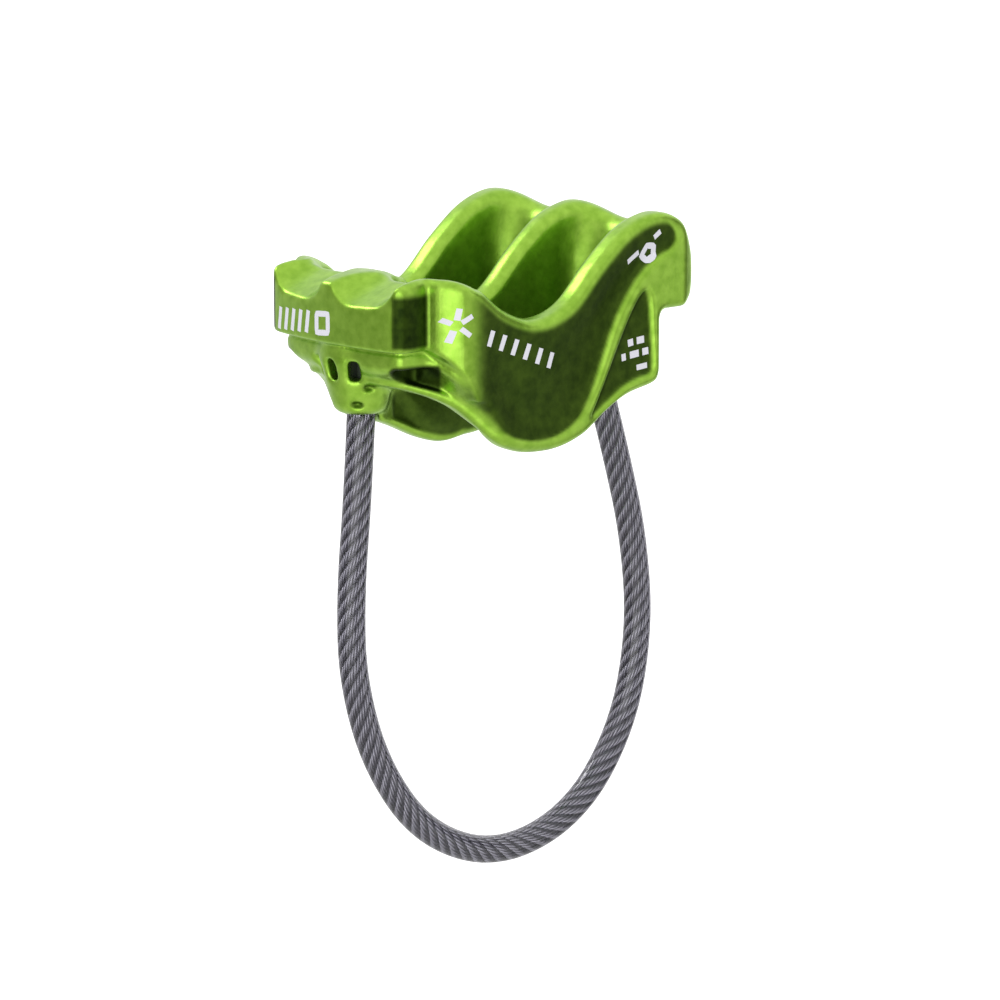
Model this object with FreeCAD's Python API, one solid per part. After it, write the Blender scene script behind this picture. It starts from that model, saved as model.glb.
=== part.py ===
import FreeCAD, Part
import math
import os

from FreeCAD import Vector

# Tube-style belay and rappel device: a forged aluminium body with two rope slots and a
# steel-wire keeper loop. Millimetres. X runs from the nose (-X) to the horn (+X), Y across
# the two slots, Z up. The origin is in the centre wall, midway between the two rope slots.

# Rope slots
SLOT_PITCH = 16.0
SLOT_WIDTH = 12.0
SLOT_FRONT_X = -17.0
SLOT_REAR_X = 15.8
SLOT_REAR_TOP_X = 21.0
SLOT_FRONT_CORNER = 5.0
SLOT_REAR_CORNER = 3.5

# Body
WALL_OUTER_Y = 18.3
NOSE_FRONT_X = -26.4
NOSE_HALF_WIDTH = 13.8
SHOULDER_X = -15.4
HORN_REAR_X = 26.9
HORN_CORNER = 3.4
HORN_UNDERSIDE_Z = 6.0
BACK_WALL_REAR_X = 19.9
BAND_LOWER_Z = 4.2
BODY_LOW_Z = -14.0
BODY_HIGH_Z = 22.0

# Nose details
STEP_INSET = 1.9
POCKET_INSET = 4.9
POCKET_LOW_Z = 0.5
POCKET_HIGH_Z = 3.3
POCKET_INNER_Y = 6.2
GROOVE_Y = 6.9
GROOVE_RADIUS = 5.6
GROOVE_FRONT_Z = 10.0
GROOVE_RISE = math.radians(23.0)
SADDLE_RADIUS = 7.0
SADDLE_LOW_Z = 18.0

# Recesses in the two outer side faces
DISH_DEPTH = 1.3
PANEL_DEPTH = 1.0

# Sections of the narrowing bow, from the nose back: x, then y and z of the foot and of the brow
HULL_OUTER_Y = 21.0
HULL_SECTIONS = [
    (-27.0, 2.4, 0.2, 6.4, 1.8),
    (-22.4, 8.0, 0.0, 10.6, 1.8),
    (-19.7, 10.9, -0.6, 12.4, 1.8),
    (-18.0, 12.2, -1.3, 15.6, 1.6),
    (-16.0, 13.6, -2.2, 18.1, 0.4),
    (-13.6, 15.2, -4.0, 18.4, -1.2),
    (-11.7, 16.6, -6.4, 18.4, -3.6),
    (-9.6, 17.9, -8.4, 18.4, -7.0),
    (-8.0, 18.4, -9.4, 18.5, -9.0),
]

# Cable and its fixings
LUG_RADIUS = 4.6
LUG_LOW_Z = -6.0
LUG_ROUND = 1.6
ROPE_RADIUS = 1.6
JACKET_RADIUS = 2.0
BORE_RADIUS = 2.25
FERRULE_LENGTH = 6.5
FERRULE_RECESS = 2.0
LOOP_CLEARANCE = 1.0
BEND_SHARE = 0.45
CRIMP_Z = 0.3
CRIMP_HOLE_RADIUS = 1.05
CRIMP_HOLE_HEIGHT = 3.2
CRIMP_WINDOW_WIDTH = 1.9
CRIMP_WINDOW_HEIGHT = 2.9
CRIMP_WINDOW_TURN = 42.0

# How far an arc's middle point lies inside the corner it rounds, as a share of its radius
CORNER_SHARE = 1 - math.sqrt(0.5)

# Route of the cable's centre line in the plane Y = 0, from the front exit to the rear exit
CABLE_ROUTE = [
    (-20.0, -6.0),
    (-20.7, -17.5),
    (-22.1, -31.0),
    (-21.9, -43.5),
    (-17.6, -56.8),
    (-8.6, -68.4),
    (5.4, -74.2),
    (20.4, -70.6),
    (29.9, -59.2),
    (33.2, -45.0),
    (31.9, -31.0),
    (28.3, -18.2),
    (24.3, -6.0),
    (22.9, 6.0),
]


def side(points, y=0.0):
    """Points (x, z) of a side view as vectors in the plane Y = y."""
    return [Vector(x, y, z) for x, z in points]


def plan(points, z=0.0):
    """Points (x, y) of a plan view as vectors in the plane Z = z."""
    return [Vector(x, y, z) for x, y in points]


def spline(vectors):
    curve = Part.BSplineCurve()
    curve.interpolate(vectors)
    return curve.toShape()


def arc(start, middle, end):
    return Part.Arc(start, middle, end).toShape()


def line(start, end):
    return Part.makeLine(start, end)


def prism(edges, direction):
    """Solid made by pushing a closed outline along a direction."""
    wire = Part.Wire(Part.sortEdges(edges)[0])
    return Part.Face(wire).extrude(direction)


def mirrored(shape):
    """The same shape on the other side of the centre plane Y = 0."""
    return shape.mirror(Vector(0, 0, 0), Vector(0, 1, 0))


def both_sides(shape):
    return [shape, mirrored(shape)]


def box(low, high):
    size = Vector(*high) - Vector(*low)
    return Part.makeBox(size.x, size.y, size.z, Vector(*low))


def top_edge(y):
    """Upper outline of every wall: nose, dip between nose and fin, fin, and horn."""
    crest = side([(-27.5, 12.5), (-22.6, 13.9), (-18.3, 14.0), (-13.6, 12.3)], y)
    dip = side([(-8.8, 8.9), (-3.4, 7.2), (2.3, 8.8), (7.9, 14.0)], y)
    fin = side([(13.6, 18.2), (19.4, 19.8), (24.0, 18.2), (26.4, 14.2), (26.9, 10.2)], y)
    return spline(crest + dip + fin)


def horn_edges(y, last_x, last_z):
    """Rear outline: the back of the horn, its underside and the back wall below it."""
    back = side([(26.9, 10.2), (26.4, 7.4), (24.4, HORN_UNDERSIDE_Z)], y)
    under = side([(20.9, HORN_UNDERSIDE_Z), (20.2, 5.7), (BACK_WALL_REAR_X, 5.0)], y)
    foot = side([(BACK_WALL_REAR_X, -2.6), (19.4, -3.9), (last_x, last_z)], y)
    return [
        arc(*back),
        line(back[2], under[0]),
        arc(*under),
        line(under[2], foot[0]),
        arc(*foot),
    ]


def outer_block():
    """Full-width block with the side outline of the outer walls."""
    y = -WALL_OUTER_Y
    first = (18.0, -4.4)
    keel = [(13.6, -5.3), (9.5, -7.2), (5.4, -9.8), (0.4, -11.2), (-4.8, -11.2), (-9.0, -9.8)]
    bow = [(-12.8, -6.4), (-17.0, -3.0), (-20.5, -1.6), (-24.0, -0.9), (-27.5, -0.8)]
    low = side([first] + keel + bow, y)
    edges = [top_edge(y)] + horn_edges(y, *first)
    edges += [spline(low), line(low[-1], Vector(-27.5, y, 12.5))]
    return prism(edges, Vector(0, 2 * WALL_OUTER_Y, 0))


def centre_keel():
    """Front lower part of the centre wall, which reaches down to the lug of the cable end."""
    half = (SLOT_PITCH - SLOT_WIDTH) / 2
    keel = [(-0.5, -10.2), (-3.2, -11.5), (-6.4, -11.75), (-10.2, -10.7)]
    bow = [(-14.4, -8.8), (-18.4, -7.0), (-21.0, -4.6)]
    low = side(keel + bow, -half)
    high = side([(-21.0, 1.0), (-0.5, 1.0)], -half)
    edges = [spline(low), line(low[-1], high[0]), line(*high), line(high[1], low[0])]
    return prism(edges, Vector(0, 2 * half, 0))


def plan_side(inset, z):
    """One side of the plan outline: nose corner, valley and shoulder, moved in by inset."""
    front = NOSE_FRONT_X + inset
    half = NOSE_HALF_WIDTH - inset
    corner = [(front + 0.7, half - 4.6), (front + 1.4, half - 1.2), (front + 3.0, half + 0.1)]
    valley = [(-20.4 + 0.3 * inset, half), (-19.4 + 0.6 * inset, 15.3 - 0.8 * inset)]
    shoulder = [(-18.0 + 0.6 * inset, 17.2 - 0.5 * inset), (SHOULDER_X, WALL_OUTER_Y)]
    return plan(corner + valley + shoulder, z)


def plan_prism(inset, z_low, z_high):
    """Upright prism with the body's plan outline, its nose and shoulders moved in by inset."""
    near = plan_side(inset, z_low)
    far = [Vector(p.x, -p.y, p.z) for p in near]
    nose = arc(far[0], Vector(NOSE_FRONT_X + inset, 0, z_low), near[0])
    back_x = HORN_REAR_X + 0.7
    rear = back_x - HORN_CORNER
    turn = CORNER_SHARE * HORN_CORNER
    edges = [nose, spline(near), spline(far)]
    for sign, end in ((1, near[-1]), (-1, far[-1])):
        begin = Vector(rear, sign * WALL_OUTER_Y, z_low)
        middle = Vector(back_x - turn, sign * (WALL_OUTER_Y - turn), z_low)
        stop = Vector(back_x, sign * (WALL_OUTER_Y - HORN_CORNER), z_low)
        edges += [line(end, begin), arc(begin, middle, stop)]
    back = [Vector(back_x, sign * (WALL_OUTER_Y - HORN_CORNER), z_low) for sign in (1, -1)]
    edges.append(line(*back))
    return prism(edges, Vector(0, 0, z_high - z_low))


def hull_flare():
    """What is cut from one side of the bow, so that it narrows down and in towards the lug."""
    wires = []
    for x, foot_y, foot_z, brow_y, brow_z in HULL_SECTIONS:
        corners = [
            Vector(x, foot_y, BODY_LOW_Z),
            Vector(x, foot_y, foot_z),
            Vector(x, brow_y, brow_z),
            Vector(x, HULL_OUTER_Y, brow_z),
            Vector(x, HULL_OUTER_Y, BODY_LOW_Z),
        ]
        wires.append(Part.makePolygon(corners + corners[:1]))
    return Part.makeLoft(wires, True, True)


def nose_step():
    """What is cut away below the nose band, so that the lower nose stands back."""
    full = plan_prism(-0.5, BODY_LOW_Z, BAND_LOWER_Z)
    step = full.cut(plan_prism(STEP_INSET, BODY_LOW_Z, BAND_LOWER_Z))
    return step.common(box((-30, -20, BODY_LOW_Z), (SHOULDER_X, 20, BAND_LOWER_Z)))


def nose_pockets():
    """The two long pockets in the stepped-back lower nose, one each side of the lug."""
    full = plan_prism(STEP_INSET - 0.5, POCKET_LOW_Z, POCKET_HIGH_Z)
    ring = full.cut(plan_prism(POCKET_INSET, POCKET_LOW_Z, POCKET_HIGH_Z))
    reach = box((-30, POCKET_INNER_Y, BODY_LOW_Z), (SHOULDER_X - 1.5, 20, BODY_HIGH_Z))
    return both_sides(ring.common(reach))


def rope_grooves():
    """Two round-bottomed guides in the front top edge of the nose, rising to the slots."""
    run = Vector(math.cos(GROOVE_RISE), 0, math.sin(GROOVE_RISE))
    start_z = GROOVE_FRONT_Z + GROOVE_RADIUS / math.cos(GROOVE_RISE)
    start = Vector(NOSE_FRONT_X, GROOVE_Y, start_z) - run * 6
    return both_sides(Part.makeCylinder(GROOVE_RADIUS, 22, start, run))


def rope_slot():
    """One slot, right through the body: flared over the nose and leaning back at the horn."""
    y_low = (SLOT_PITCH - SLOT_WIDTH) / 2
    low = side([(SLOT_REAR_X, BODY_LOW_Z), (SLOT_FRONT_X, BODY_LOW_Z)], y_low)
    lip = side([(SLOT_FRONT_X, 9.6), (-17.6, 12.1), (-19.6, 13.9)], y_low)
    high = side([(-19.6, BODY_HIGH_Z), (SLOT_REAR_TOP_X + 0.8, BODY_HIGH_Z)], y_low)
    rear = side([(SLOT_REAR_TOP_X, 18.0), (18.0, 9.0), (16.2, 0.0), (SLOT_REAR_X, -8.0)], y_low)
    edges = [
        line(low[0], low[1]),
        line(low[1], lip[0]),
        arc(*lip),
        line(lip[2], high[0]),
        line(high[0], high[1]),
        line(high[1], rear[0]),
        spline(rear),
        line(rear[3], low[0]),
    ]
    slot = prism(edges, Vector(0, SLOT_WIDTH, 0))
    upright = [e for e in slot.Edges if stands_at_slot_end(e, y_low)]
    front = [e for e in upright if e.BoundBox.Center.x < 0]
    slot = slot.makeFillet(SLOT_FRONT_CORNER, front)
    upright = [e for e in slot.Edges if stands_at_slot_end(e, y_low)]
    rear = [e for e in upright if e.BoundBox.Center.x > SLOT_REAR_X - 1]
    return slot.makeFillet(SLOT_REAR_CORNER, rear)


def stands_at_slot_end(edge, y_low):
    """True for the slot tool's long upright corner edges, below the flared lip."""
    ends = [v.Point for v in edge.Vertexes]
    if len(ends) < 2 or abs(ends[0].y - ends[1].y) > 0.01:
        return False
    return edge.BoundBox.ZLength > 15 and edge.BoundBox.XLength < 6


def rear_saddle():
    """Shallow hollow in the top of the cross wall between two fins."""
    centre = Vector(SLOT_FRONT_X + 30, SLOT_PITCH / 2, SADDLE_LOW_Z + SADDLE_RADIUS)
    return Part.makeCylinder(SADDLE_RADIUS, 30, centre, Vector(1, 0, 0))


def side_dish():
    """The dished area of an outer side face, from the shoulder to the rib at the rear."""
    rise = [(-11.4, 7.6), (-7.6, 5.6), (-3.2, 4.6), (3.4, 6.6), (8.8, 11.6), (13.6, 15.4)]
    rear = [(18.6, 16.6), (20.4, 14.8), (17.8, 12.4), (13.7, 9.0), (10.3, 3.9), (8.5, 0.0)]
    low = [(4.8, -6.6), (0.2, -9.2), (-4.7, -9.2), (-8.6, -7.4), (-11.4, -3.6), (-12.8, 1.6)]
    return recess(rise + rear + low, DISH_DEPTH)


def side_panel():
    """The three-cornered panel behind the rib of an outer side face."""
    points = [(16.6, 8.8), (18.4, 5.0), (18.6, -2.4), (13.0, -3.9), (8.2, -6.3), (11.4, -0.2)]
    return recess(points, PANEL_DEPTH)


def recess(points, depth):
    """Cutter with a smooth closed outline, sunk into the outer side face at +Y."""
    curve = Part.BSplineCurve()
    curve.interpolate(side(points, WALL_OUTER_Y - depth), PeriodicFlag=True)
    return prism([curve.toShape()], Vector(0, depth + 1, 0))


def route():
    return [Vector(x, 0, z) for x, z in CABLE_ROUTE]


def exit_at(end):
    """Exit point of one cable end, and the direction from it into the body."""
    points = route()
    if end == "front":
        return points[0], (points[0] - points[1]).normalize()
    return points[-1], (points[-1] - points[-2]).normalize()


def lug():
    """Round lug under the nose that holds the front end of the cable."""
    exit_point = exit_at("front")[0]
    foot = side([(0, LUG_LOW_Z), (LUG_RADIUS - LUG_ROUND, LUG_LOW_Z)])
    turn = LUG_ROUND * CORNER_SHARE
    bend = side([(LUG_RADIUS - turn, LUG_LOW_Z + turn), (LUG_RADIUS, LUG_LOW_Z + LUG_ROUND)])
    head = side([(LUG_RADIUS, BAND_LOWER_Z), (0, BAND_LOWER_Z)])
    edges = [
        line(foot[0], foot[1]),
        arc(foot[1], bend[0], bend[1]),
        line(bend[1], head[0]),
        line(head[0], head[1]),
        line(head[1], foot[0]),
    ]
    face = Part.Face(Part.Wire(edges))
    solid = face.revolve(Vector(0, 0, 0), Vector(0, 0, 1), 360)
    solid.translate(Vector(exit_point.x, 0, 0))
    return solid


def bore(end):
    """Blind hole that takes one cable end and its ferrule."""
    exit_point, inward = exit_at(end)
    depth = FERRULE_RECESS + FERRULE_LENGTH
    return Part.makeCylinder(BORE_RADIUS, depth + 1, exit_point - inward, inward)


def crimp_holes():
    """Upright oval hole in front of the lug and a window each side, where the ferrule shows."""
    centre = Vector(exit_at("front")[0].x, 0, CRIMP_Z)
    reach = LUG_RADIUS + 1
    radius = CRIMP_HOLE_RADIUS
    half = CRIMP_HOLE_HEIGHT / 2 - radius
    oval = box((-reach, -radius, -half), (0, radius, half))
    ends = [Part.makeCylinder(radius, reach, Vector(0, 0, z), Vector(-1, 0, 0)) for z in (-half, half)]
    oval = oval.fuse(ends).removeSplitter()
    oval.translate(centre)
    holes = [oval]
    half_width = CRIMP_WINDOW_WIDTH / 2
    half_height = CRIMP_WINDOW_HEIGHT / 2
    for turn in (-CRIMP_WINDOW_TURN, CRIMP_WINDOW_TURN):
        window = box((-reach, -half_width, -half_height), (0, half_width, half_height))
        window.rotate(Vector(0, 0, 0), Vector(0, 0, 1), turn)
        window.translate(centre)
        holes.append(window)
    return holes


def body():
    block = outer_block().common(plan_prism(0, BODY_LOW_Z, BODY_HIGH_Z))
    block = block.cut(nose_step())
    block = block.cut(both_sides(hull_flare()))
    block = block.cut(both_sides(rope_slot()))
    block = block.cut(both_sides(rear_saddle()))
    block = block.fuse([centre_keel(), lug()]).removeSplitter()
    cutters = rope_grooves() + nose_pockets() + crimp_holes()
    cutters += both_sides(side_dish()) + both_sides(side_panel())
    cutters += [bore("front"), bore("rear")]
    return block.cut(cutters).removeSplitter()


def ferrule(end):
    """Crimped sleeve on one end of the wire rope."""
    exit_point, inward = exit_at(end)
    start = exit_point + inward * FERRULE_RECESS
    outside = Part.makeCylinder(BORE_RADIUS, FERRULE_LENGTH, start, inward)
    return outside.cut(Part.makeCylinder(ROPE_RADIUS, FERRULE_LENGTH, start, inward))


def rope_end(end):
    """The bare end of the wire rope, inside its ferrule."""
    exit_point, inward = exit_at(end)
    start = exit_point + inward * FERRULE_RECESS
    return Part.makeCylinder(ROPE_RADIUS, FERRULE_LENGTH, start, inward)


def loop_points():
    """Route of the part of the cable that flexes: clear of the body at both ends."""
    points = route()
    front, rear = exit_at("front")[1], exit_at("rear")[1]
    points[0] = points[0] - front * LOOP_CLEARANCE
    points[-1] = points[-1] - rear * LOOP_CLEARANCE
    return points


def cable_path(points):
    """Straight runs joined by tangent arcs, each as large as its two runs allow."""
    edges = []
    here = points[0]
    for before, corner, after in zip(points, points[1:], points[2:]):
        run_in, run_out = corner - before, after - corner
        half_turn = run_in.getAngle(run_out) / 2
        setback = BEND_SHARE * min(run_in.Length, run_out.Length)
        radius = setback / math.tan(half_turn)
        leave = corner - run_in.normalize() * setback
        join = corner + run_out.normalize() * setback
        inward = (leave + join) * 0.5 - corner
        to_arc = radius / math.cos(half_turn) - radius
        edges.append(line(here, leave))
        edges.append(arc(leave, corner + inward.normalize() * to_arc, join))
        here = join
        print("cable bend radius", round(radius, 1))
    edges.append(line(here, points[-1]))
    return Part.Wire(edges)


def tube(path, radius, hole=0.0):
    """Round tube along the path; its volume is compared with section times length."""
    start = path.Edges[0].valueAt(path.Edges[0].FirstParameter)
    direction = path.Edges[0].tangentAt(path.Edges[0].FirstParameter)
    section = Part.Wire(Part.makeCircle(radius, start, direction))
    solid = path.makePipeShell([section], True, False)
    area = math.pi * radius**2
    if hole:
        inner = Part.Wire(Part.makeCircle(hole, start, direction))
        solid = solid.cut(path.makePipeShell([inner], True, False))
        area -= math.pi * hole**2
    print("tube volume", round(solid.Volume, 2), "expected", round(area * path.Length, 2))
    return solid


def main():
    path = cable_path(loop_points())
    print("cable length", round(path.Length, 2))
    nodes = {
        "body": body(),
        "front_ferrule": ferrule("front"),
        "rear_ferrule": ferrule("rear"),
        "front_rope_end": rope_end("front"),
        "rear_rope_end": rope_end("rear"),
        "wire_rope": tube(path, ROPE_RADIUS),
        "cable_jacket": tube(path, JACKET_RADIUS, ROPE_RADIUS),
    }
    os.makedirs("parts", exist_ok=True)
    for name, shape in nodes.items():
        bounds = shape.BoundBox
        print(name, shape.isValid(), len(shape.Solids), round(shape.Volume, 1), bounds)
        shape.exportStep(f"parts/{name}.step")


main()
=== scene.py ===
import math

import bmesh
import bpy
import numpy as np
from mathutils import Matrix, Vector
from mathutils.bvhtree import BVHTree


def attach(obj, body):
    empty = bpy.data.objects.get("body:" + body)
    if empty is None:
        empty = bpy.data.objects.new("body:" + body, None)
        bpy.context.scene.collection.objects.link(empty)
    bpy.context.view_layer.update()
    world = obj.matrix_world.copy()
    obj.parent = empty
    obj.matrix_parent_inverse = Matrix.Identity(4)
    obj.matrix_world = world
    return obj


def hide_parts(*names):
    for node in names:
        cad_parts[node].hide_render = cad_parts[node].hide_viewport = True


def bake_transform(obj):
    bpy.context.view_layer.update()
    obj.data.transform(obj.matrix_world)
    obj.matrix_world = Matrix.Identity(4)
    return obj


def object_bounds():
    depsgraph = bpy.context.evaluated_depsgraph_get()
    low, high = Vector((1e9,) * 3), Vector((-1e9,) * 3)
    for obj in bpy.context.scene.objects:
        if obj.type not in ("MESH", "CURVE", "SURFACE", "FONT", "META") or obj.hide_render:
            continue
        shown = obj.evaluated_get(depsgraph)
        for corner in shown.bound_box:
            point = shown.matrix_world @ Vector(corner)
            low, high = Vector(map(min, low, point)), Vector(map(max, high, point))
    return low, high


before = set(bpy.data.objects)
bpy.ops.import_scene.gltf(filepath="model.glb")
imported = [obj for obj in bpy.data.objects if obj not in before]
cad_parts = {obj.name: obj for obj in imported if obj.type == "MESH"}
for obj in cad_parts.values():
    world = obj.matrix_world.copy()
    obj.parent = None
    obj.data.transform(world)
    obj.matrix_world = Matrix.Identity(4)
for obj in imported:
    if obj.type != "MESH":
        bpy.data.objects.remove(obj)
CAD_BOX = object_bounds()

# The visual model of a tube-style belay device, in metres in the part's own frame: the nose is
# at -X, the horn at +X, the rope slots lie side by side across Y, and the keeper loop hangs
# below. The body's skin is worked out in millimetres and scaled at the end.
MM = 0.001

# Camera, at the photographed three-quarter view with a long lens
CAMERA_AZIMUTH = math.radians(-42.0)
CAMERA_PITCH = math.radians(11.7)
CAMERA_DISTANCE = 0.6317
CAMERA_AIM = Vector((0.0016, -0.0045, -0.0206))
CAMERA_LENS = 162.0

# Cable: the route's points (x, z) are the CAD tube's, in millimetres
CABLE_ROUTE = [
    (-20.0, -6.0),
    (-20.7, -17.5),
    (-22.1, -31.0),
    (-21.9, -43.5),
    (-17.6, -56.8),
    (-8.6, -68.4),
    (5.4, -74.2),
    (20.4, -70.6),
    (29.9, -59.2),
    (33.2, -45.0),
    (31.9, -31.0),
    (28.3, -18.2),
    (24.3, -6.0),
    (22.9, 6.0),
]
JACKET_RADIUS = 2.0 * MM
ROPE_RADIUS = 1.62 * MM
STRANDS = 6
WIRES = 6
LAY_LENGTH = 13.0 * MM
WIRE_LAY_LENGTH = 6.0 * MM
WIRE_OVERLAP = 1.03
WIRE_SIDES = 7
JACKET_SIDES = 32
ROUTE_STEP = 0.3 * MM

# The hinge's axis, which runs from the front exit to the rear
HINGE_AXIS = Vector((0.96306, 0.0, 0.26939))


def camera():
    """Camera that looks at CAMERA_AIM along its azimuth and pitch."""
    data = bpy.data.cameras.new("camera")
    data.lens = CAMERA_LENS
    data.sensor_width = 36.0
    data.clip_start = 0.05
    data.clip_end = 20.0
    eye = bpy.data.objects.new("camera", data)
    flat = math.cos(CAMERA_PITCH)
    back = Vector((
        math.sin(CAMERA_AZIMUTH) * flat,
        -math.cos(CAMERA_AZIMUTH) * flat,
        math.sin(CAMERA_PITCH),
    ))
    eye.location = CAMERA_AIM + back * CAMERA_DISTANCE
    eye.rotation_mode = "QUATERNION"
    eye.rotation_quaternion = (-back).to_track_quat("-Z", "Y")
    bpy.context.scene.collection.objects.link(eye)
    bpy.context.scene.camera = eye


def mesh_piece(name, points, faces, smooth=True):
    """New mesh object from arrays of points (metres) and faces."""
    mesh = bpy.data.meshes.new(name)
    mesh.from_pydata(np.asarray(points, float).tolist(), [], [list(map(int, f)) for f in faces])
    mesh.validate()
    if smooth:
        mesh.shade_smooth()
    piece = bpy.data.objects.new(name, mesh)
    bpy.context.scene.collection.objects.link(piece)
    return piece


def speckled(name, scale, low, high, rough, metallic=0.0):
    """Material whose colour and roughness vary with a fine noise; returns it and its shader."""
    material = bpy.data.materials.new(name)
    material.use_nodes = True
    nodes, link = material.node_tree.nodes, material.node_tree.links.new
    shader = nodes["Principled BSDF"]
    shader.inputs["Metallic"].default_value = metallic
    noise = nodes.new("ShaderNodeTexNoise")
    noise.inputs["Scale"].default_value = scale
    ramp = nodes.new("ShaderNodeValToRGB")
    ramp.color_ramp.elements[0].color = (*low, 1)
    ramp.color_ramp.elements[1].color = (*high, 1)
    spread = nodes.new("ShaderNodeMapRange")
    spread.inputs["To Min"].default_value = rough[0]
    spread.inputs["To Max"].default_value = rough[1]
    link(noise.outputs["Fac"], ramp.inputs["Fac"])
    link(ramp.outputs["Color"], shader.inputs["Base Color"])
    link(noise.outputs["Fac"], spread.inputs["Value"])
    link(spread.outputs["Result"], shader.inputs["Roughness"])
    return material, shader


# ---------------------------------------------------------------- cable


def route_line():
    """Points read from the cable route's smooth NURBS line, evenly spaced, in metres."""
    curve = bpy.data.curves.new("cable_line", "CURVE")
    curve.dimensions = "3D"
    curve.resolution_u = 48
    spline = curve.splines.new("NURBS")
    spline.points.add(len(CABLE_ROUTE) - 1)
    for point, (x, z) in zip(spline.points, CABLE_ROUTE):
        point.co = (x * MM, 0.0, z * MM, 1.0)
    spline.order_u = 3
    spline.use_endpoint_u = True
    line = bpy.data.objects.new("cable_line", curve)
    mesh = bpy.data.meshes.new_from_object(line)
    points = np.array([v.co for v in mesh.vertices], float)
    bpy.data.meshes.remove(mesh)
    bpy.data.objects.remove(line)
    bpy.data.curves.remove(curve)
    return even(points, ROUTE_STEP)


def lengths(points):
    """Distance along a line at each of its points."""
    return np.r_[0.0, np.cumsum(np.linalg.norm(np.diff(points, axis=0), axis=1))]


def even(points, step):
    """The same line with points about one step apart."""
    along = lengths(points)
    count = int(round(along[-1] / step)) + 1
    marks = np.linspace(0.0, along[-1], count)
    return np.stack([np.interp(marks, along, points[:, k]) for k in range(3)], axis=1)


def line_frame(points):
    """Side and up directions along a line."""
    tangent = np.gradient(points, axis=0)
    tangent /= np.linalg.norm(tangent, axis=1)[:, None]
    side = np.tile(np.array([0.0, 1.0, 0.0]), (len(points), 1))
    side -= tangent * (side * tangent).sum(1)[:, None]
    side /= np.linalg.norm(side, axis=1)[:, None]
    return side, np.cross(tangent, side)


def tube_mesh(points, radius, sides):
    """Points and faces of a closed tube round a line."""
    side, up = line_frame(points)
    count = len(points)
    turn = np.arange(sides) * 2 * math.pi / sides
    cos, sin = np.cos(turn)[None, :, None], np.sin(turn)[None, :, None]
    ring = cos * side[:, None, :] + sin * up[:, None, :]
    rings = points[:, None, :] + ring * radius
    verts = rings.reshape(-1, 3)
    row = np.arange(count - 1)[:, None] * sides
    a = (row + np.arange(sides)[None, :]).ravel()
    b = (row + (np.arange(sides)[None, :] + 1) % sides).ravel()
    faces = np.stack([a, b, b + sides, a + sides], axis=1).tolist()
    faces.append(list(range(sides))[::-1])
    last = (count - 1) * sides
    faces.append(list(range(last, last + sides)))
    return verts, faces


def helix(points, radius, pitch, phase, side, up):
    """A line that winds right-handed (pitch > 0) round another one."""
    turn = phase + 2 * math.pi * lengths(points) / pitch
    out = np.cos(turn)[:, None] * side + np.sin(turn)[:, None] * up
    return points + out * radius


def rope_strands(line):
    """Stranded rope: six strands of seven wires laid round a core strand."""
    strand = ROPE_RADIUS / 3
    wire = strand / 3
    side, up = line_frame(line)
    centres = [line]
    for k in range(STRANDS):
        centres.append(helix(line, 2 * strand, LAY_LENGTH, 2 * math.pi * k / STRANDS, side, up))
    verts, faces, base = [], [], 0
    for centre in centres:
        wire_side, wire_up = line_frame(centre)
        wires = [centre]
        for k in range(WIRES):
            phase = 2 * math.pi * k / WIRES
            wires.append(helix(centre, 2 * wire, -WIRE_LAY_LENGTH, phase, wire_side, wire_up))
        for path in wires:
            v, f = tube_mesh(path, wire * WIRE_OVERLAP, WIRE_SIDES)
            verts.append(v)
            faces += [[i + base for i in face] for face in f]
            base += len(v)
    return np.concatenate(verts), faces


def clear_plastic():
    """Clear, slightly uneven plastic of the cable's jacket."""
    material, shader = speckled(
        "clear_jacket", 500.0, (0.90, 0.90, 0.96), (0.97, 0.96, 1.0), (0.03, 0.11))
    shader.inputs["IOR"].default_value = 1.5
    shader.inputs["Transmission Weight"].default_value = 1.0
    return material


def steel_wire():
    """Bright steel of the rope's wires."""
    return speckled(
        "steel_wire", 900.0, (0.22, 0.215, 0.245), (0.42, 0.41, 0.455), (0.24, 0.38), 1.0)[0]


def cable():
    """The keeper loop: stranded rope in a clear jacket."""
    line = route_line()
    rope = mesh_piece("stranded_wire_rope", *rope_strands(line))
    rope.data.materials.append(steel_wire())
    jacket_verts, jacket_faces = tube_mesh(line, JACKET_RADIUS, JACKET_SIDES)
    jacket = mesh_piece("clear_cable_jacket", jacket_verts, jacket_faces)
    jacket.data.materials.append(clear_plastic())
    down = HINGE_AXIS.cross(Vector((0, 1, 0)))
    if down.z > 0:
        down.negate()
    for piece in (rope, jacket):
        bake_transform(piece)
    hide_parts("wire_rope")
    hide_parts("cable_jacket")


# ---------------------------------------------------------------- body skin


# Grid that the skin is worked out on, in millimetres: the size of its cells, and its reach
CELL = 0.25
GRID_X = (-28.2, 28.2)
GRID_HALF_Y = 19.2
GRID_Z = (-13.2, 21.6)


def smooth_line(points, closed=False, steps=10):
    """Catmull-Rom line through points, as a polyline."""
    p = np.array(points, float)
    if closed:
        p = np.concatenate([p[-1:], p, p[:2]])
    else:
        p = np.concatenate([2 * p[:1] - p[1:2], p, 2 * p[-1:] - p[-2:-1]])
    t = np.linspace(0, 1, steps, endpoint=False)[:, None]
    out = []
    for a, b, c, d in zip(p, p[1:], p[2:], p[3:]):
        out.append(0.5 * (2 * b + (c - a) * t + (2 * a - 5 * b + 4 * c - d) * t**2
                          + (3 * b - a - 3 * c + d) * t**3))
    if not closed:
        out.append(p[-2][None])
    return np.concatenate(out)


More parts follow.
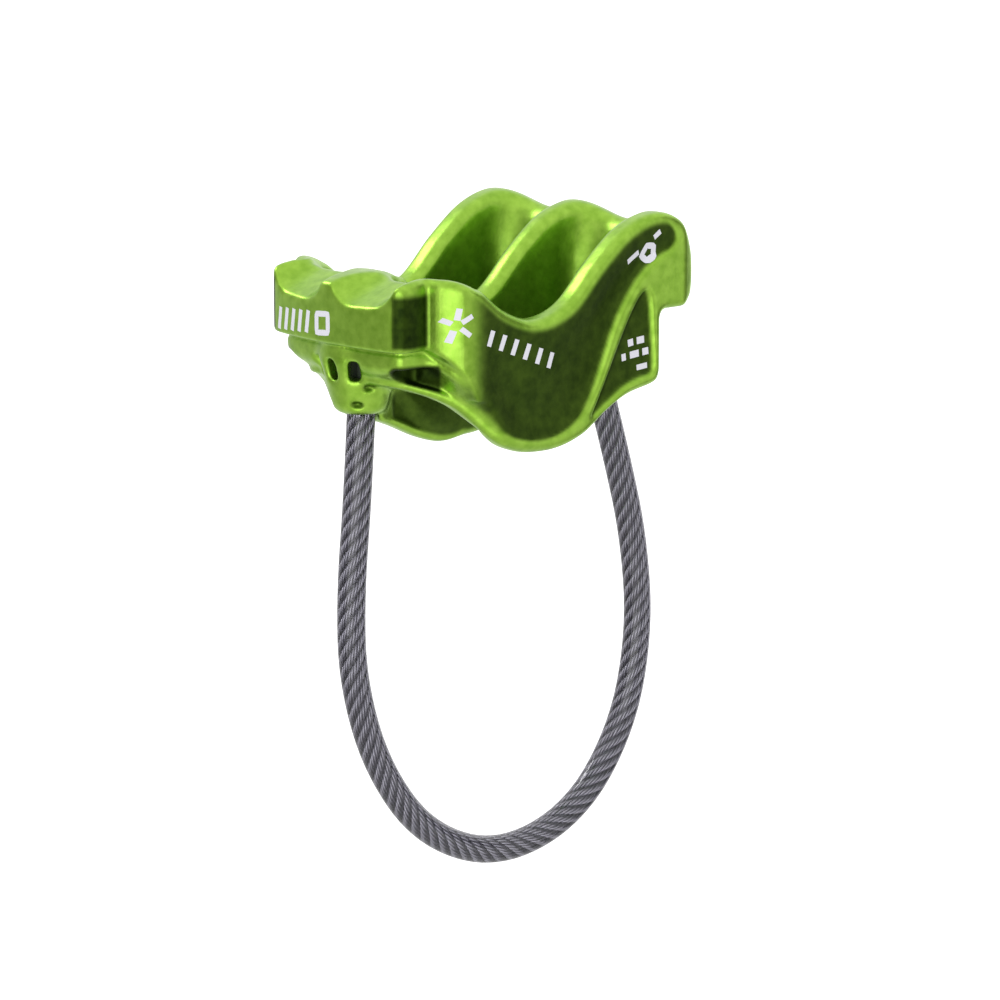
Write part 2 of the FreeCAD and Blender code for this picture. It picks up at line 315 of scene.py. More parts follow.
def line_distance(u, v, points):
    """Distance from every (u, v) to an open polyline."""
    best = np.full(np.broadcast(u, v).shape, 1e9)
    for a, b in zip(points, points[1:]):
        e = b - a
        t = np.clip(((u - a[0]) * e[0] + (v - a[1]) * e[1]) / max(e @ e, 1e-12), 0, 1)
        best = np.minimum(best, (u - a[0] - t * e[0]) ** 2 + (v - a[1] - t * e[1]) ** 2)
    return np.sqrt(best)


def outline_distance(u, v, points):
    """Signed distance from every (u, v) to a closed outline: negative inside."""
    loop = np.concatenate([points, points[:1]])
    distance = line_distance(u, v, loop)
    inside = np.zeros(distance.shape, bool)
    for a, b in zip(loop, loop[1:]):
        if a[1] == b[1]:
            continue
        cross = (v >= min(a[1], b[1])) & (v < max(a[1], b[1]))
        inside ^= cross & (u < a[0] + (v - a[1]) * (b[0] - a[0]) / (b[1] - a[1]))
    return np.where(inside, -distance, distance)


def meet(a, b, radius):
    """Common part of two shapes, its outer edge rounded."""
    corner = np.sqrt(np.maximum(a + radius, 0) ** 2 + np.maximum(b + radius, 0) ** 2)
    return np.minimum(-radius, np.maximum(a, b)) + corner


def join(a, b, radius):
    """Two shapes together, the inner corner between them filled."""
    return -meet(-a, -b, radius)


def step(value, low, high):
    """Smooth step from 0 at low to 1 at high."""
    t = np.clip((value - low) / (high - low), 0, 1)
    return t * t * (3 - 2 * t)


# Side view (x, z): the walls' top line from nose to horn, and their lower line back again
SIDE_TOP = [(-27.5, 12.6), (-24.8, 13.5), (-22.0, 14.0), (-19.2, 14.1), (-16.4, 13.7),
            (-13.4, 12.3), (-8.8, 8.9), (-3.4, 7.2), (2.3, 8.8), (7.9, 14.0), (13.6, 18.2),
            (19.4, 19.8), (24.0, 18.2), (26.4, 14.2), (26.9, 10.2), (26.4, 7.4)]
SIDE_LOW = [(19.4, -3.9), (18.0, -4.4), (13.6, -5.3), (9.5, -7.2), (5.4, -9.8), (0.4, -11.2),
            (-4.8, -11.2), (-8.6, -10.1), (-10.6, -8.8), (-11.9, -7.5), (-13.2, -6.0),
            (-14.8, -4.4), (-17.0, -3.0), (-19.0, -2.1), (-21.1, -1.4), (-24.0, -0.9),
            (-27.5, -0.8)]
HORN_NOTCH = [(24.8, 6.0), (20.9, 6.0), (20.2, 5.7), (19.9, 5.0), (19.9, -2.6)]
HALF_WIDTH = 18.3

# Plan (x, y) of one side: the nose band, the crease, and the shoulder behind it
NOSE_PLAN = [(-26.4, 0.0), (-26.25, 5.0), (-25.8, 9.0), (-25.45, 11.2), (-25.05, 12.6),
             (-24.3, 13.6), (-23.2, 13.95), (-21.2, 13.85), (-19.7, 13.5)]
SHOULDER_PLAN = [(-19.7, 13.5), (-19.1, 15.2), (-17.9, 16.9), (-16.4, 17.9), (-14.0, 18.3)]
HULL_PLAN = [(-23.2, 0.0), (-23.1, 5.0), (-22.6, 7.6), (-21.1, 9.6), (-18.0, 12.2),
             (-14.6, 14.6), (-11.7, 16.6), (-9.4, 17.9), (-7.0, 18.3)]
BACK_PLAN = [(24.2, 18.3), (26.4, 17.5), (27.6, 14.9)]

# Side view of the raised rim round the dished side: along the bottom, up the S-shaped rib, and
# over the horn
RIM_LINE = [(-19.0, -1.0), (-17.0, -1.7), (-15.2, -2.6), (-13.6, -4.0), (-12.2, -5.7),
            (-10.6, -7.6), (-8.1, -8.9), (-5.3, -9.6), (-2.5, -9.8), (0.3, -9.4), (3.1, -8.3),
            (5.2, -6.5), (7.3, -3.4), (9.0, 0.1), (10.6, 3.7), (12.1, 6.5), (13.9, 9.0),
            (15.9, 11.2), (17.8, 12.6), (19.8, 13.6), (21.7, 14.4), (22.6, 15.6), (22.3, 17.2),
            (21.0, 18.6)]
PANEL_LINE = [(5.9, -7.9), (6.9, -6.2), (8.2, -3.9), (9.5, -1.5), (11.2, 1.8), (12.8, 4.7),
              (14.1, 6.8), (15.3, 8.4), (16.6, 9.4), (17.4, 9.1), (18.0, 7.6), (18.3, 4.3),
              (18.7, -0.4), (18.6, -2.2), (17.7, -3.1), (15.4, -3.5), (12.9, -4.3), (9.7, -6.1),
              (7.4, -7.5)]
KEEL_LINE = [(-0.5, -9.8), (-3.2, -11.4), (-6.4, -11.75), (-10.2, -10.7), (-14.4, -8.8),
             (-18.4, -7.0), (-21.0, -4.6)]

# Side view (x, z) of a slot's front lip and rear end, the nose band's lower edge, and the top of
# the rim below it
SLOT_LIP = [(-17.0, 9.2), (-17.6, 11.8), (-19.2, 13.4), (-22.0, 14.6)]
SLOT_REAR = [(21.6, 20.0), (20.9, 17.6), (18.2, 10.5), (16.5, 2.0), (15.8, -8.0)]
BAND_LOW_LINE = [(-30.0, 4.2), (-20.4, 4.2), (-18.8, 3.5), (-17.8, 2.4), (-16.9, 1.2),
                 (-16.1, 0.2), (-15.2, -1.4), (-14.4, -3.0)]
RIM_TOP_LINE = ([(-30.0, 0.1), (-24.0, 0.0), (-21.1, -0.4)] + RIM_LINE[:6]
                + [(-9.0, -8.4), (-6.0, -9.4), (0.0, -9.4)])

# Slot's middle and half width, how far the tier stands back, and the groove under the band
SLOT_Y = 8.0
SLOT_HALF_WIDTH = 6.0
TIER_INSET = 1.5
SEAM_RADIUS = 0.45

# Lug round the front end of the cable, with its openings and dents. An opening is its turn from
# the front in degrees, half width, half height and corner radius; a dent is its centre.
LUG_X = -20.0
LUG_FOOT_Z = -6.0
LUG_TOP_Z = 4.2
LUG_BACK_X = -14.8
LUG_FOOT_RADIUS = 3.7
LUG_TOP_RADIUS = 5.8
LUG_TAPER = 0.27
OPENING_Z = 0.6
OPENINGS = [(0, 0.9, 1.5, 0.85), (-40, 0.8, 1.4, 0.3), (40, 0.8, 1.4, 0.3)]
DENTS = [(-22.9, 2.6, -4.3), (-22.1, 4.3, -1.8)]
DENT_RADIUS = 0.85

# Rope grooves over the nose, and the hollow between two fins of the cross wall
NOSE_FRONT_X = -26.4
GROOVE_RISE = math.radians(23.0)
GROOVE_RADIUS = 4.2
GROOVE_Y = 6.9
GROOVE_LOW_Z = 9.8
SADDLE_RADIUS = 7.0
SADDLE_Z = 25.0


def side_outline():
    return np.concatenate([smooth_line(SIDE_TOP), np.array(HORN_NOTCH), smooth_line(SIDE_LOW)])


def mirrored(one_side):
    """Closed outline from one side's line, from the centre at the front to the back."""
    one = np.array(one_side)
    return np.concatenate([one, one[:0:-1] * np.array([1.0, -1.0])])


def nose_outline():
    return mirrored([*smooth_line(NOSE_PLAN)[:-1], *smooth_line(SHOULDER_PLAN), *BACK_PLAN])


def tier_outline(inset):
    """The band's plan moved in at the nose, and fading out along the shoulder."""
    nose = [(x + inset, y * (13.8 - 0.9 * inset) / 13.8) for x, y in NOSE_PLAN[:-3]]
    back = [(-20.3 + 0.8 * inset, 13.5 - 0.3 * inset), (-17.4, 16.6), (-16.0, 17.8), (-14.0, 18.3)]
    return mirrored([*smooth_line(nose + back), *BACK_PLAN])


def hull_outline():
    return mirrored([*smooth_line(HULL_PLAN), *BACK_PLAN])


def height(x, line):
    """Height of a line over x, for a line whose points run along x."""
    points = smooth_line(line)
    order = np.argsort(points[:, 0])
    return np.interp(x, points[order, 0], points[order, 1])


def lug_shape(x, y, z):
    """Tapered lug that holds the front end of the cable."""
    radius = np.minimum(LUG_FOOT_RADIUS + LUG_TAPER * (z - LUG_FOOT_Z), LUG_TOP_RADIUS)
    ends = np.maximum(LUG_FOOT_Z - z, z - LUG_TOP_Z)
    lug = meet(np.hypot(x - LUG_X, y) - radius, ends, 1.5)
    return meet(lug, x - LUG_BACK_X, 1.5)


def lug_dents(x, y, z):
    """Small flattened dents low on each side of the lug."""
    dents = 9.0
    for dent_x, dent_y, dent_z in DENTS:
        dent = np.sqrt((x - dent_x) ** 2 + (y - dent_y) ** 2 + (1.8 * (z - dent_z)) ** 2)
        dents = np.minimum(dents, dent - DENT_RADIUS)
    return dents


def rope_groove(x, y, z):
    """Round-bottomed groove that rises over the nose to its slot."""
    floor_z = GROOVE_LOW_Z + GROOVE_RADIUS / math.cos(GROOVE_RISE)
    off = -(x - NOSE_FRONT_X) * math.sin(GROOVE_RISE) + (z - floor_z) * math.cos(GROOVE_RISE)
    return np.hypot(off, np.maximum(np.abs(y - GROOVE_Y) - 1.8, 0)) - GROOVE_RADIUS


def cable_bores(x, y, z):
    """Bores for the cable's two ends, leaning as the cable does."""
    front = np.hypot(x - LUG_X - 0.061 * (z - LUG_FOOT_Z), y) - 2.25
    front = np.maximum(front, z - 2.6)
    rear = np.hypot(x - 22.9 + 0.117 * (z - 6.0), y) - 2.3
    rear = np.maximum(rear, np.maximum(z - 14.0, 2.0 - z))
    return np.minimum(front, rear)


def body_field(xs, ys, zs):
    """Two grids: signed distance, roughly, to the forged body (negative inside), and a mask from
    0 to 1 of how much painted shade darkens the colour and how rough the finish is."""
    x, y, z = xs[:, None, None], np.abs(ys)[None, :, None], zs[None, None, :]
    xz_u, xz_v = xs[:, None], zs[None, :]
    xy_u, xy_v = xs[:, None], ys[None, :]

    wall = outline_distance(xz_u, xz_v, side_outline())[:, None, :]
    plan = outline_distance(xy_u, xy_v, nose_outline())[:, :, None]
    edge = 0.9 + 0.9 * step(x, -25.6, -23.0) - 0.5 * step(x, -6.0, 2.0) - 0.1 * step(x, 20.0, 25.0)
    body = meet(wall, plan, edge)

    # the nose's top is a little lower in the middle and falls away at the sides
    top = height(xs, SIDE_TOP[:8])[:, None, None]
    drop = 0.35 * (1 - step(y, 5.0, 12.0)) + 0.13 * np.maximum(y - 15.5, 0) ** 2
    body = meet(body, 0.9 * (z - top + drop) - 60.0 * step(x, -14.0, -4.0), 0.3)

    # slots' outline, needed for the pockets too
    lip = smooth_line(SLOT_LIP)
    rear = smooth_line(SLOT_REAR)
    slot_line = [(15.8, -16.0), (-17.0, -16.0), *lip, (-22.0, 24.0), (22.8, 24.0), *rear]
    slot_side = outline_distance(xz_u, xz_v, np.array(slot_line))[:, None, :]
    slot_corner = 1.6 + 2.9 * step(z, 0.0, 15.0)
    slot = meet(slot_side, np.abs(y - SLOT_Y) - SLOT_HALF_WIDTH, slot_corner)

    # lower hull: a tier under the band, then a flare down to the rim
    band_low = height(xs, BAND_LOW_LINE)[:, None, None]
    rim_top = height(xs, RIM_TOP_LINE)[:, None, None]
    tier = outline_distance(xy_u, xy_v, tier_outline(TIER_INSET))[:, :, None]
    tier = tier + 0.06 * np.clip(band_low - z, 0, 4) * (1 - step(x, -19.5, -17.0))
    hull = outline_distance(xy_u, xy_v, hull_outline())[:, :, None]
    rise = np.clip((z - rim_top) / (2.0 + 1.2 * step(x, -20.5, -16.0)), 0, 1)
    blunt = 0.4
    flare = np.sqrt(rise * (2 - rise) + blunt**2) - blunt
    flare = flare / (math.sqrt(1 + blunt**2) - blunt)
    proud = (0.3 + 0.4 * step(x, -22.0, -19.0)) * (1 - step(x, -13.0, -8.0))
    lower = (hull + proud) * (1 - flare) + tier * flare
    rim = np.maximum(hull, z - rim_top)
    lower = join(lower, rim, 0.25)
    upper = np.maximum(plan, band_low - z)
    outside = join(lower, upper, 0.3)
    seam = np.hypot(z - band_low + 0.3, tier) - SEAM_RADIUS
    seam = np.maximum(seam, x + 16.0)
    outside = meet(outside, -seam, 0.2)
    cut = np.where(x < -6.0, outside, -9.0)
    body = meet(body, cut, 0.45)
    slot = np.maximum(slot, cut + 3.0 - 1.7 * step(x, -14.5, -9.0))

    # pockets between the tier and the rim, kept clear of the slots
    pocket = np.maximum(rim_top + 0.2 - z, z - np.minimum(band_low - 1.3, 1.6))
    oblique = 0.74 * x + 0.67 * y
    end = meet(1.6 - slot, 0.8 * (x + 17.0) - 0.6 * (y - 10.8), 1.0)
    pocket = meet(meet(pocket, end, 0.4), meet(9.6 - y, -10.2 - oblique, 0.4), 0.5)
    pocket = np.where(z < 5.0, pocket, 9.0)
    body = meet(body, -pocket, 0.3)

    # centre keel and lug
    keel_line = np.concatenate([smooth_line(KEEL_LINE), np.array([(-21.0, 1.0), (-0.5, 1.0)])])
    keel_side = outline_distance(xz_u, xz_v, keel_line)[:, None, :]
    keel_web = step(-keel_side, 0.9, 1.4) * step(x, -15.8, -15.2)
    keel = meet(keel_side, y - 2.0 + 0.5 * keel_web, 0.6)
    body = join(body, keel, 0.5)
    body = join(body, lug_shape(x, y, z), 0.8)
    body = meet(body, -slot, 1.6)

    # hollow in the cross wall between fins
    saddle = np.maximum(np.hypot(y - SLOT_Y, z - SADDLE_Z) - SADDLE_RADIUS, 13.0 - x)
    body = meet(body, -saddle, 2.4)
    body = meet(body, -rope_groove(x, y, z), 0.4)

    # dished side faces inside the rim, and the panel behind the rib
    rim_line = smooth_line(RIM_LINE)
    closing = np.array([(20.0, 26.0), (-30.0, 26.0), (-30.0, -1.0)])
    inner = -outline_distance(xz_u, xz_v, np.concatenate([rim_line, closing]))
    from_rim = line_distance(xz_u, xz_v, rim_line) * np.sign(inner)
    from_top = -wall[:, 0, :]
    bowl = np.clip(1 - from_rim / 15.0, 0, 1) ** 1.2
    depth = 1.2 * bowl * step(from_rim, -0.2, 0.7) * step(from_top, 0.8, 6.0)
    depth = depth * step(xz_u, -17.5, -7.0) * (1 - 0.3 * step(xz_u, 14.0, 21.0))
    dish = step(from_rim, 0.1, 0.5) * step(from_top, 1.0, 1.9) * step(xz_u, -17.0, -12.5)
    panel = outline_distance(xz_u, xz_v, smooth_line(PANEL_LINE, closed=True))
    depth = depth + 0.9 * step(-panel, 0.0, 0.6)
    dish = np.maximum(dish, step(-panel, 0.2, 0.6))
    body = meet(body, y - (HALF_WIDTH - depth[:, None, :]), 0.2)

    # bores for the cable ends, and the lug's openings and dents
    body = meet(body, -cable_bores(x, y, z), 0.25)
    signed_y = ys[None, :, None]
    for turn, half_width, half_height, corner in OPENINGS:
        c, s = math.cos(math.radians(turn)), math.sin(math.radians(turn))
        out = -(x - LUG_X) * c - signed_y * s
        across = -(x - LUG_X) * s + signed_y * c
        window = meet(np.abs(across) - half_width, np.abs(z - OPENING_Z) - half_height, corner)
        body = meet(body, -np.maximum(window, 0.5 - out), 0.25)
    dents = lug_dents(x, y, z)
    body = meet(body, -dents, 0.25)

    # painted shade and painted dark reflection, with a rougher finish: the dishes, panels, slot walls,
    # pockets, the nose's sides and the dents are painted darker
    rough = 0.92 * dish[:, None, :] * step(y, 14.6, 15.4)
    low_edge = step(-np.minimum(wall, keel_side), 0.7, 1.3)
    deep = np.maximum(step(-wall, 2.0, 3.2), (1 - step(z, -4.0, -1.0)) * low_edge)
    web = np.where((x < 0) & (y < 3.0) & (z < -1.0), step(x, -15.8, -15.2), 1.0)
    inside_slot = (1 - step(np.abs(slot), 0.8, 1.2)) * deep * web
    inside_pocket = (1 - step(np.abs(pocket), 0.3, 0.7)) * (1 - step(oblique, -4.0, -3.4))
    nose_side = step(x, -25.4, -24.9) * (1 - step(x, -19.9, -19.3)) * step(y, 12.0, 12.5)
    nose_side = nose_side * step(z, 4.5, 5.0) * (1 - step(z, 11.5, 12.5))
    # painted shade inside the slots, darker low down
    inside_slot = (0.25 + 0.6 * (1 - step(z, -4.0, 0.0))) * inside_slot
    rough = np.maximum(np.maximum(rough, inside_slot), np.maximum(inside_pocket, nose_side))
    # painted shade in the dents
    rough = np.maximum(rough, 0.6 * (1 - step(dents, 0.0, 0.3)))
    return body, rough


def surface(field, axes):
    """Surface nets: points and faces of the level surface where the field is zero."""
    inside = field < 0
    shape = np.array(field.shape) - 1
    corners = [(i, j, k) for i in (0, 1) for j in (0, 1) for k in (0, 1)]

    def corner(array, c):
        return array[c[0]:c[0] + shape[0], c[1]:c[1] + shape[1], c[2]:c[2] + shape[2]]

    total = sum(corner(inside, c).astype(np.int8) for c in corners)
    active = (total > 0) & (total < 8)
    cells = np.argwhere(active)
    number = -np.ones(shape, np.int64)
    number[active] = np.arange(len(cells))
    values = {c: corner(field, c)[active] for c in corners}
    summed = np.zeros((len(cells), 3))
    count = np.zeros(len(cells))
    for a in corners:
        for axis in range(3):
            if a[axis]:
                continue
            b = tuple(1 if k == axis else a[k] for k in range(3))
            va, vb = values[a], values[b]
            crossed = (va < 0) != (vb < 0)
            t = np.where(crossed, va / np.where(crossed, va - vb, 1), 0)
            point = np.array(a, float)[None] + t[:, None] * np.eye(3)[axis][None]
            summed += np.where(crossed[:, None], point, 0)
            count += crossed
    grid = cells + summed / count[:, None]
    start = np.array([axis[0] for axis in axes])
    points = start + grid * CELL
    faces = []
    for axis in range(3):
        u, v = (axis + 1) % 3, (axis + 2) % 3
        low = [slice(0, -1) if k == axis else slice(1, -1) for k in range(3)]
        high = [slice(1, None) if k == axis else slice(1, -1) for k in range(3)]
        first, second = inside[tuple(low)], inside[tuple(high)]
        edges = np.argwhere(first != second)
        flip = first[first != second]
        edges[:, u] += 1
        edges[:, v] += 1
        quad = []
        for du, dv in ((-1, -1), (0, -1), (0, 0), (-1, 0)):
            cell = edges.copy()
            cell[:, u] += du
            cell[:, v] += dv
            quad.append(number[tuple(cell.T)])
        quad = np.stack(quad, axis=1)
        quad[~flip] = quad[~flip][:, ::-1]
        faces.append(quad)
    return points, np.concatenate(faces)


def soften(field, rounds=2):
    """The field blurred over about one cell, which rounds off the finest corners."""
    for _ in range(rounds):
        for axis in range(3):
            middle = np.moveaxis(field, axis, 0)
            middle[1:-1] = 0.25 * middle[:-2] + 0.5 * middle[1:-1] + 0.25 * middle[2:]
    return field


def sample(array, axes, points):
    """Values of a grid at points, by linear interpolation."""
    start = np.array([axis[0] for axis in axes])
    g = (points - start) / CELL
    i = np.clip(np.floor(g).astype(int), 0, np.array(array.shape) - 2)
    f = g - i
    value = 0.0
    for a in (0, 1):
        for b in (0, 1):
            for c in (0, 1):
                weight = (np.abs(1 - a - f[:, 0]) * np.abs(1 - b - f[:, 1])
                          * np.abs(1 - c - f[:, 2]))
                value = value + weight * array[i[:, 0] + a, i[:, 1] + b, i[:, 2] + c]
    return value


def settle(points, field, axes, rounds=3):
    """Moves points onto the level surface along the field's slope."""
    slope = [g.astype(np.float32) for g in np.gradient(field, CELL)]
    for _ in range(rounds):
        d = sample(field, axes, points)
        g = np.stack([sample(s, axes, points) for s in slope], axis=1)
        norm = np.maximum((g * g).sum(1), 0.2)
        move = np.clip(d / norm, -0.5 * CELL, 0.5 * CELL)
        points = points - g * move[:, None]
    return points


def anodised():
    """Green anodised metal: bright and smooth where the mask is 0, dark with painted shade and rough
    where it is 1.
    """
    material = bpy.data.materials.new("green_anodised")
    material.use_nodes = True
    tree = material.node_tree
    nodes, link = tree.nodes, tree.links.new
    shader = nodes["Principled BSDF"]
    shader.inputs["Coat Roughness"].default_value = 0.2
    place = nodes.new("ShaderNodeTexCoord")
    grain = nodes.new("ShaderNodeTexNoise")
    grain.inputs["Scale"].default_value = 2200.0
    grain.inputs["Detail"].default_value = 3.0
    cloud = nodes.new("ShaderNodeTexNoise")
    cloud.inputs["Scale"].default_value = 700.0
    cloud.inputs["Detail"].default_value = 4.0
    bright = nodes.new("ShaderNodeValToRGB")
    bright.color_ramp.elements[0].color = (0.225, 0.430, 0.030, 1)
    bright.color_ramp.elements[1].color = (0.330, 0.570, 0.060, 1)
    # the dark colour is painted shade and painted dark reflection for the masked recesses and the
    # nose's sides
    dark = nodes.new("ShaderNodeValToRGB")
    dark.color_ramp.elements[0].color = (0.008, 0.020, 0.0008, 1)
    dark.color_ramp.elements[1].color = (0.026, 0.052, 0.0028, 1)
    for ramp in (bright, dark):
        ramp.color_ramp.elements[0].position = 0.3
        ramp.color_ramp.elements[1].position = 0.7
        link(cloud.outputs["Fac"], ramp.inputs["Fac"])
    mask = nodes.new("ShaderNodeAttribute")
    mask.attribute_name = "painted_shade_and_roughness"
    metal = nodes.new("ShaderNodeMapRange")
    metal.inputs["To Min"].default_value = 0.94
    metal.inputs["To Max"].default_value = 0.92
    link(mask.outputs["Fac"], metal.inputs["Value"])
    link(metal.outputs["Result"], shader.inputs["Metallic"])
    coat = nodes.new("ShaderNodeMapRange")
    coat.inputs["To Min"].default_value = 0.25
    coat.inputs["To Max"].default_value = 0.0
    link(mask.outputs["Fac"], coat.inputs["Value"])
    link(coat.outputs["Result"], shader.inputs["Coat Weight"])
    mix = nodes.new("ShaderNodeMix")
    mix.data_type = "RGBA"
    link(mask.outputs["Fac"], mix.inputs["Factor"])
    link(bright.outputs["Color"], mix.inputs["A"])
    link(dark.outputs["Color"], mix.inputs["B"])
    link(mix.outputs["Result"], shader.inputs["Base Color"])
    rough = nodes.new("ShaderNodeMapRange")
    rough.inputs["To Min"].default_value = 0.33
    rough.inputs["To Max"].default_value = 0.48
    link(mask.outputs["Fac"], rough.inputs["Value"])
    link(rough.outputs["Result"], shader.inputs["Roughness"])
    bump = nodes.new("ShaderNodeBump")
    bump.inputs["Strength"].default_value = 0.35
    bump.inputs["Distance"].default_value = 0.00006
    for texture in (grain, cloud):
        link(place.outputs["Object"], texture.inputs["Vector"])
    link(grain.outputs["Fac"], bump.inputs["Height"])
    link(bump.outputs["Normal"], shader.inputs["Normal"])
    return material


def body():
    """Skin of the forged body, and the marks printed on it."""
    xs = np.arange(*GRID_X, CELL)
    half = int(GRID_HALF_Y / CELL) + 0.5
    ys = np.arange(-half, half + 1) * CELL
    zs = np.arange(*GRID_Z, CELL)
    axes = (xs, ys, zs)
    field, rough = body_field(xs, ys, zs)
    field = soften(field)
    points, faces = surface(field, axes)
    points = settle(points, field, axes)
    skin = mesh_piece("forged_body_skin", points * MM, faces)
    # mask of painted shade and roughness, read by the material
    mask = skin.data.attributes.new("painted_shade_and_roughness", "FLOAT", "POINT")
    mask.data.foreach_set("value", sample(rough, axes, points).astype(np.float32))
    skin.data.materials.append(anodised())
    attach(skin, "forged_body")
    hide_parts("body")
    printed_marks(points, faces)


# ---------------------------------------------------------------- printed marks


# How far a mark stands above the skin and reaches below it, and the spacing of its rings, in mm
MARK_HEIGHT = 0.03
MARK_SINK = 0.08
MARK_STEP = 0.4

# Plain strokes in millimetres: points across and up, whether the stroke closes, and its width.
# Those on the nose are seen from the front (y, z), those on the side from -Y (x, z).
NOSE_STROKES = [([(y, z), (y - 0.5, z + 3.1)], False, 0.75)
                for y, z in ((11.0, 4.9), (9.3, 5.0), (7.6, 5.1), (5.9, 5.2), (4.2, 5.3))]
NOSE_STROKES += [([(1.9, 5.6), (1.9, 8.2), (-0.5, 8.4), (-0.5, 5.8)], True, 0.8)]
STAR = [(0.4, 2.3), (2.1, 1.2), (1.8, -1.5), (-0.7, -2.4), (-1.3, 0.7)]
SIDE_STROKES = [([(-17.6 + 0.3 * x, 7.9 + 0.3 * z), (-17.6 + x, 7.9 + z)], False, 0.7)
                for x, z in STAR]
SIDE_STROKES += [([(-12.6 + 2.2 * k, 4.6 - 0.85 * k), (-11.9 + 2.2 * k, 6.7 - 0.85 * k)], False, 0.8)
                 for k in range(6)]
SIDE_STROKES += [([(13.9, 1.9), (14.9, 2.05)], False, 1.0), ([(15.6, 2.1), (17.0, 2.2)], False, 1.0),
                 ([(12.7, 0.0), (13.5, 0.1)], False, 1.0), ([(14.3, 0.2), (16.0, 0.35)], False, 1.0),
                 ([(16.7, 0.4), (17.8, 0.5)], False, 1.0), ([(15.6, -1.7), (17.6, -1.55)], False, 0.8)]
SIDE_STROKES += [([(16.3, 14.0), (17.1, 15.4), (18.5, 15.2), (18.6, 13.8), (17.4, 13.2)], True, 0.9),
                 ([(13.5, 13.4), (15.6, 14.6)], False, 0.8), ([(18.3, 16.4), (19.4, 17.2)], False, 0.8)]


def stroke_mesh(tree, points, closed, width, front):
    """A thin closed solid that follows the skin under one stroke."""
    line = np.array(points + points[:1] if closed else points, float)
    marks = lengths(line)
    count = max(3, int(marks[-1] / MARK_STEP) + 1)
    spaced = np.linspace(0, marks[-1], count, endpoint=not closed)
    flat = np.stack([np.interp(spaced, marks, line[:, k]) for k in (0, 1)], axis=1)
    if closed:
        along = np.roll(flat, -1, axis=0) - np.roll(flat, 1, axis=0)
    else:
        along = np.gradient(flat, axis=0)
    along /= np.linalg.norm(along, axis=1)[:, None]
    across = np.stack([-along[:, 1], along[:, 0]], axis=1)
    ray = Vector((1, 0, 0)) if front else Vector((0, 1, 0))
    rings = []
    for spot, turn in zip(flat, across):
        ring = []
        for share in (-0.5, 0.0, 0.5):
            u, v = spot + turn * share * width
            start = Vector((-40, u, v)) if front else Vector((u, -30, v))
            hit, normal = tree.ray_cast(start, ray)[:2]
            ring.append((hit + normal * MARK_HEIGHT, hit - normal * MARK_SINK))
        rings.append([p[0] for p in ring] + [p[1] for p in reversed(ring)])
    sides = 6
    verts = [tuple(p) for ring in rings for p in ring]
    faces = []
    for k in range(count if closed else count - 1):
        after = (k + 1) % count
        for j in range(sides):
            i = (j + 1) % sides
            faces.append([k * sides + j, k * sides + i, after * sides + i, after * sides + j])
    if not closed:
        faces.append(list(range(sides))[::-1])
        faces.append([(count - 1) * sides + j for j in range(sides)])
    return np.array(verts), faces


def printed_marks(points, faces):
    """The white marks on the nose and on one side, laid on the skin."""
    tree = BVHTree.FromPolygons(points.tolist(), faces.tolist())
    verts, quads, base = [], [], 0
    for strokes, front in ((NOSE_STROKES, True), (SIDE_STROKES, False)):
        for stroke in strokes:
            v, f = stroke_mesh(tree, *stroke, front)
            verts.append(v)
            quads += [[i + base for i in face] for face in f]
            base += len(v)
    marks = mesh_piece("printed_marks", np.concatenate(verts) * MM, quads, smooth=False)
    bm = bmesh.new()
    bm.from_mesh(marks.data)
    bmesh.ops.recalc_face_normals(bm, faces=bm.faces)
    bm.to_mesh(marks.data)
    bm.free()
    paint = speckled("white_print", 1500.0, (0.56, 0.56, 0.62), (0.80, 0.79, 0.86), (0.42, 0.58))[0]
    marks.data.materials.append(paint)
    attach(marks, "forged_body")


# ---------------------------------------------------------------- CAD nodes that stay


def finish_nodes():
    """Metal for the ferrules and rope ends, which keep their CAD shape, painted dark as shade inside
    the lug and bores.
    """
    dark = speckled(
        "ferrule_metal", 1200.0, (0.02, 0.024, 0.02), (0.06, 0.066, 0.06), (0.40, 0.60), 1.0)[0]
    for name in ("front_ferrule", "rear_ferrule", "front_rope_end", "rear_rope_end"):
        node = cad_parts[name]
        for slot in node.material_slots:
            slot.material = dark


# ---------------------------------------------------------------- stage


def area_light(name, place, size, power):
    """Softbox aimed at the origin; sizes in metres."""
    data = bpy.data.lights.new(name, "AREA")
    data.shape = "RECTANGLE"
    data.size, data.size_y = size
    data.energy = power
    light = bpy.data.objects.new(name, data)
    light.location = place
    aim = Vector((0, 0, 0)) - Vector(place)
    light.rotation_mode = "QUATERNION"
    light.rotation_quaternion = aim.to_track_quat("-Z", "Y")
    bpy.context.scene.collection.objects.link(light)


# Studio round the object, as brightness by direction: (turn from +X in degrees, brightness) on
# the horizon, and (height of the direction, brightness) for the floor and the ceiling
ROUND = [(-180, 1.30), (-160, 1.60), (-135, 1.30), (-105, 0.75), (-75, 0.80), (-48, 1.20),
         (-38, 0.55), (-30, 0.08), (-16, 0.10), (-4, 1.00), (20, 1.20), (50, 1.00), (85, 0.80),
         (118, 0.66), (140, 0.44), (156, 0.46)]
FLOOR_HEIGHTS = [(-1.0, 1.0), (-0.60, 0.9), (-0.42, 0.0)]
CEILING_HEIGHTS = [(0.35, 0.0), (0.60, 1.0), (1.0, 1.0)]
FLOOR_BRIGHTNESS = 0.85
CEILING_BRIGHTNESS = 1.10

# Softboxes: name, place, size and power
SOFTBOXES = [
    ("left_softbox", (-0.82, -0.60, 0.0), (0.8, 0.6), 1.6),
    ("front_softbox", (-0.37, -0.82, -0.10), (0.22, 0.6), 0.45),
    ("back_softbox", (-0.27, 0.72, 0.68), (0.3, 0.3), 2.2),
]

# Floor: its depth below the loop and half its width, in metres, and how much it glows
FLOOR_DROP = 0.06
FLOOR_REACH = 3.0
FLOOR_GLOW = 0.5


